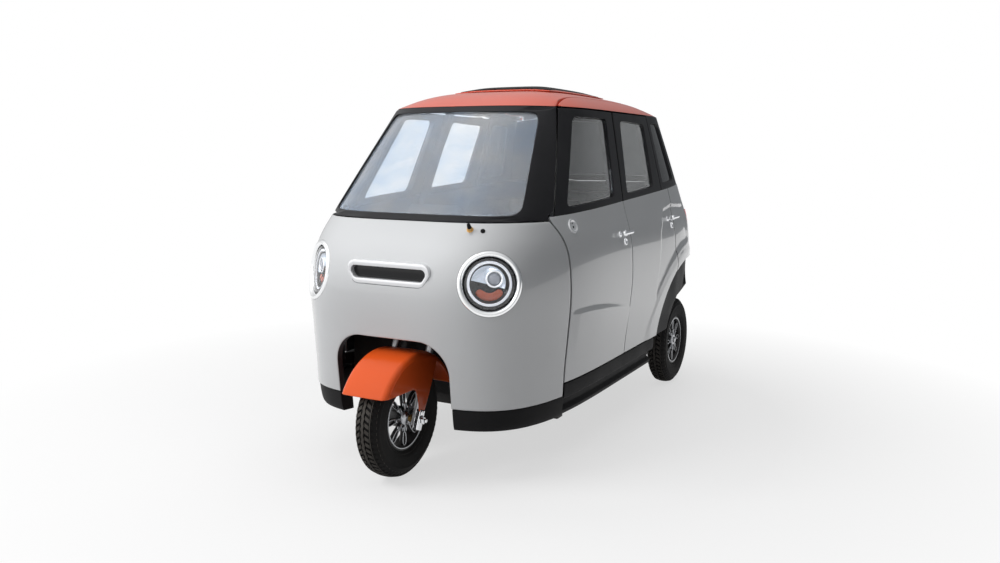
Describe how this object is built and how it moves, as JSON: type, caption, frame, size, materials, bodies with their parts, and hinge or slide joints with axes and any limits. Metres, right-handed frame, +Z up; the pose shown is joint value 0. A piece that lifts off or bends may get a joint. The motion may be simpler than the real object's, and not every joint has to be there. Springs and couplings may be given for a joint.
{
  "type": "three wheeled car",
  "caption": "Enclosed passenger tricycle with a steered front wheel, hinged side doors, glazed cabin, raised roof hatch and turning wheels.",
  "frame": {"origin": "on the ground under the middle of the outline", "axes": "+Z up, the front faces -Y, the vehicle's left side is +X"},
  "size_m": [1.2596, 2.5053, 1.5723],
  "materials": {
    "body_paint": "glossy",
    "roof_paint": "glossy",
    "fender_paint": "glossy",
    "black_trim": "satin",
    "black_frame": "satin",
    "glass": "clear",
    "tinted_glass": "tinted",
    "chrome": "polished",
    "silver_trim": "metallic",
    "lamp_dark": "clear over black",
    "lamp_red": "clear red",
    "chassis_paint": "satin",
    "axle_metal": "painted",
    "cabin_plastic": "grained",
    "seat_cover": "soft",
    "battery_case": "plain",
    "tyre": "matt",
    "rim_alloy": "machined and painted"
  },
  "bodies": {
    "body": {"chassis_frame": "chassis_paint", "cross_members": "chassis_paint", "head_tube": "chassis_paint", "floor_tub": "cabin_plastic", "dashboard": "cabin_plastic", "nose_shell": "body_paint", "tail_shell": "body_paint", "front_skirts": "black_trim", "sills": "black_trim", "arch_trims": "black_trim", "rear_bumper": "black_trim", "slot_grille": "black_trim", "plate_holder": "black_trim", "windscreen_frame": "black_frame", "quarter_frames": "black_frame", "rear_frame": "black_frame", "side_posts": "black_frame", "windscreen": "glass", "quarter_glass": "tinted_glass", "rear_window": "tinted_glass", "roof_panel": "roof_paint", "roof_rails": "roof_paint", "roof_hatch": "roof_paint", "headlight_bezels": "chrome", "slot_frame": "silver_trim", "headlight_lenses": "lamp_dark", "taillights": "lamp_red", "driver_seat": "seat_cover", "rear_bench": "seat_cover", "battery_box": "battery_case", "rear_axle": "axle_metal", "leaf_springs": "axle_metal"},
    "steering": {"fork": "axle_metal", "front_fender": "fender_paint", "handlebar": "axle_metal"},
    "front_wheel": {"front_tyre": "tyre", "front_rim": "rim_alloy"},
    "rear_left_wheel": {"left_tyre": "tyre", "left_rim": "rim_alloy"},
    "rear_right_wheel": {"right_tyre": "tyre", "right_rim": "rim_alloy"},
    "front_left_door": {"front_left_door": "body_paint", "front_left_frame": "black_frame", "front_left_glass": "tinted_glass", "front_left_handle": "chrome"},
    "front_right_door": {"front_right_door": "body_paint", "front_right_frame": "black_frame", "front_right_glass": "tinted_glass", "front_right_handle": "chrome"},
    "rear_left_door": {"rear_left_door": "body_paint", "rear_left_frame": "black_frame", "rear_left_glass": "tinted_glass", "rear_left_handle": "chrome"},
    "rear_right_door": {"rear_right_door": "body_paint", "rear_right_frame": "black_frame", "rear_right_glass": "tinted_glass", "rear_right_handle": "chrome"}
  },
  "joints": [
    {"name": "steer", "type": "hinge", "parent": "body", "child": "steering", "pos_m": [0, -0.97991, 0.22202], "axis": [0, 0.3746, 0.9272], "range_deg": [-35, 35]},
    {"name": "front_wheel_spin", "type": "hinge", "parent": "steering", "child": "front_wheel", "pos_m": [0, -1.017, 0.237], "axis": [1, 0, 0], "continuous": true},
    {"name": "rear_left_wheel_spin", "type": "hinge", "parent": "body", "child": "rear_left_wheel", "pos_m": [0.481, 0.928, 0.237], "axis": [1, 0, 0], "continuous": true},
    {"name": "rear_right_wheel_spin", "type": "hinge", "parent": "body", "child": "rear_right_wheel", "pos_m": [-0.481, 0.928, 0.237], "axis": [1, 0, 0], "continuous": true},
    {"name": "front_left_door_hinge", "type": "hinge", "parent": "body", "child": "front_left_door", "pos_m": [0.588, -0.674, 0.7], "axis": [0, 0, -1], "range_deg": [0, 65]},
    {"name": "front_right_door_hinge", "type": "hinge", "parent": "body", "child": "front_right_door", "pos_m": [-0.588, -0.674, 0.7], "axis": [0, 0, 1], "range_deg": [0, 65]},
    {"name": "rear_left_door_hinge", "type": "hinge", "parent": "body", "child": "rear_left_door", "pos_m": [0.615, -0.052, 0.7], "axis": [0, 0, -1], "range_deg": [0, 65]},
    {"name": "rear_right_door_hinge", "type": "hinge", "parent": "body", "child": "rear_right_door", "pos_m": [-0.615, -0.052, 0.7], "axis": [0, 0, 1], "range_deg": [0, 65]}
  ]
}
